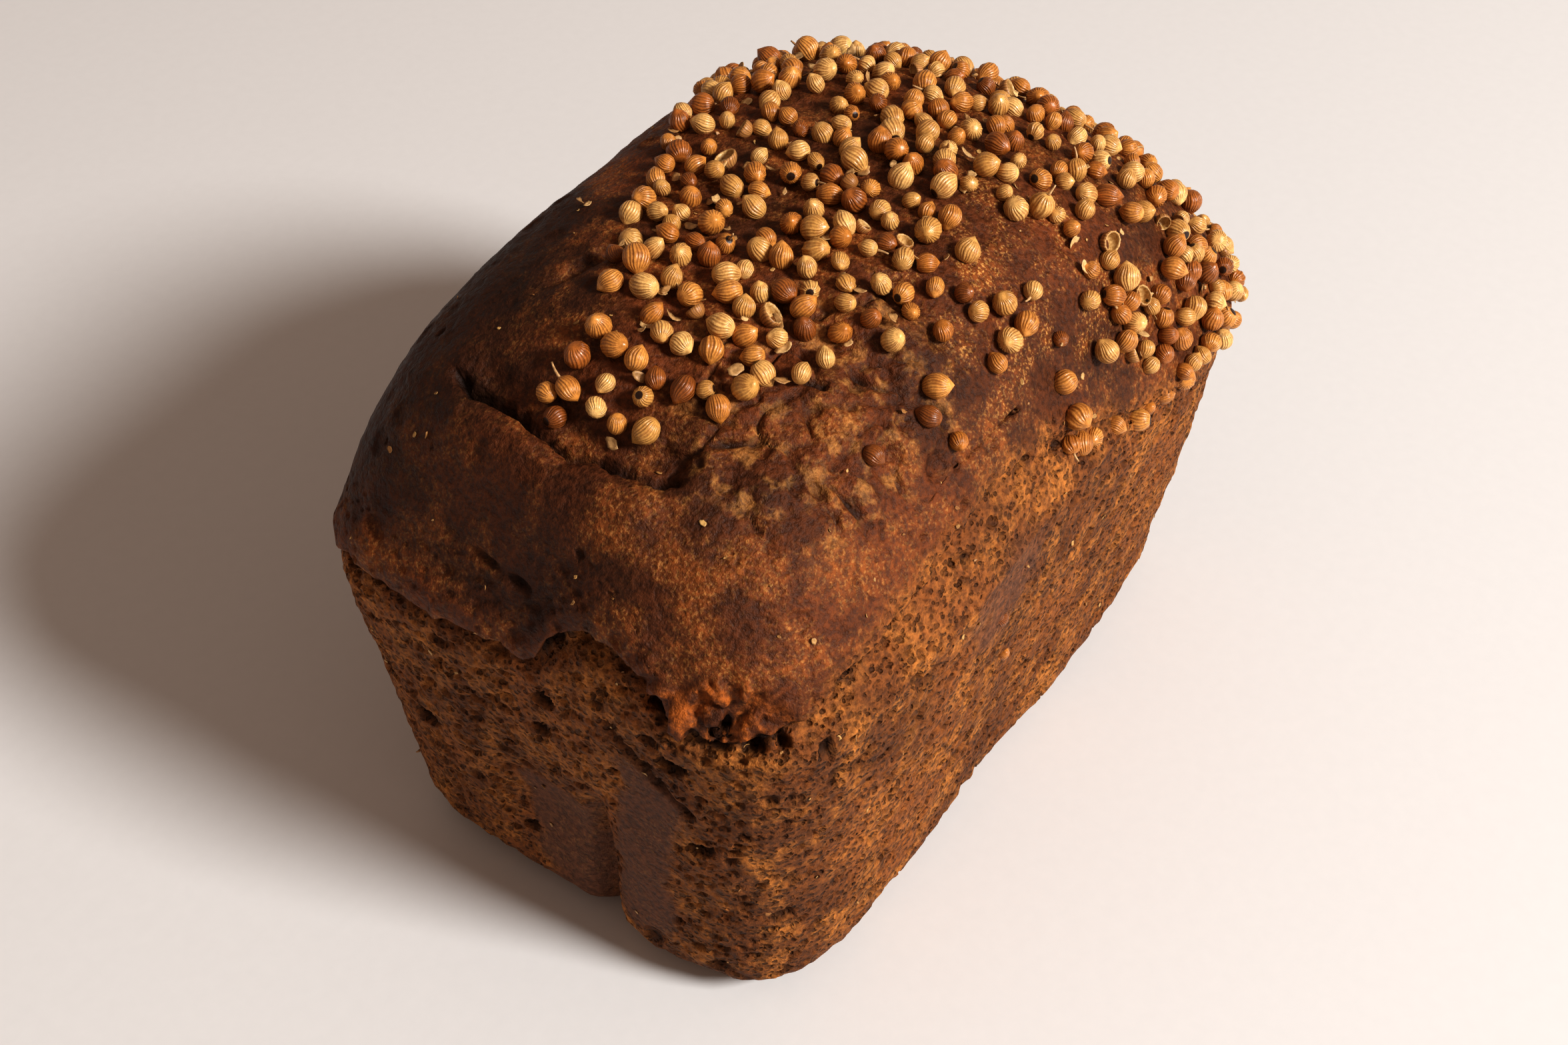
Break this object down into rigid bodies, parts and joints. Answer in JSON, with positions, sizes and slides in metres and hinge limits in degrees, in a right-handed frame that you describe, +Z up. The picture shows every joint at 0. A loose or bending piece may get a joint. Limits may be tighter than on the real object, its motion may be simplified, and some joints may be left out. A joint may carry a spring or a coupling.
{
  "type": "rye bread loaf",
  "caption": "Whole dark rye loaf from a small tapered pan, with a domed crust covered in coriander seeds and porous brown sides.",
  "frame": {"origin": "centre of the loaf's bounding box at the bottom, on the flat base it stands on", "axes": "+Z up, X along the loaf's length with the creased end at -X, Y across its width"},
  "size_m": [0.1504, 0.0974, 0.1055],
  "materials": {
    "dark_crust": "satin"
  },
  "bodies": {
    "root": {"loaf": "dark_crust"}
  },
  "joints": []
}
